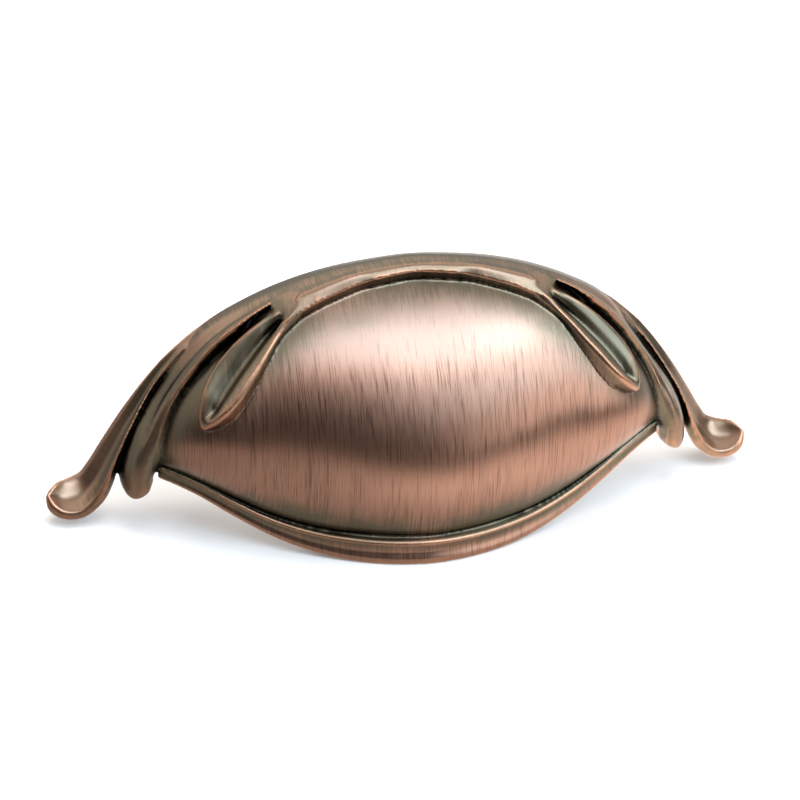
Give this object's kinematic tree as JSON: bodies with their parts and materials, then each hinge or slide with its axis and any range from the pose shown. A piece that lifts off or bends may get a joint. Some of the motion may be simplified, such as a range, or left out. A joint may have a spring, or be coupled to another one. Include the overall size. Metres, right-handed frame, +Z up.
{
  "type": "bin pull",
  "caption": "Hollow arched cup pull for a drawer: domed front with leaf relief, a moulded band that ends in curled feet, and a flared finger lip.",
  "frame": {"origin": "under the middle of the pull, level with the undersides of its feet and lip, midway between the drawer front and the foremost point of the lip", "axes": "+X along the pull to its right end, +Y from the cup towards the drawer front, +Z up the drawer front"},
  "size_m": [0.135, 0.0296, 0.0492],
  "materials": {
    "antique_copper": "brushed antique copper plating over a zinc casting, darkened in the recesses"
  },
  "bodies": {
    "root": {"pull_casting": "antique_copper"}
  },
  "joints": []
}
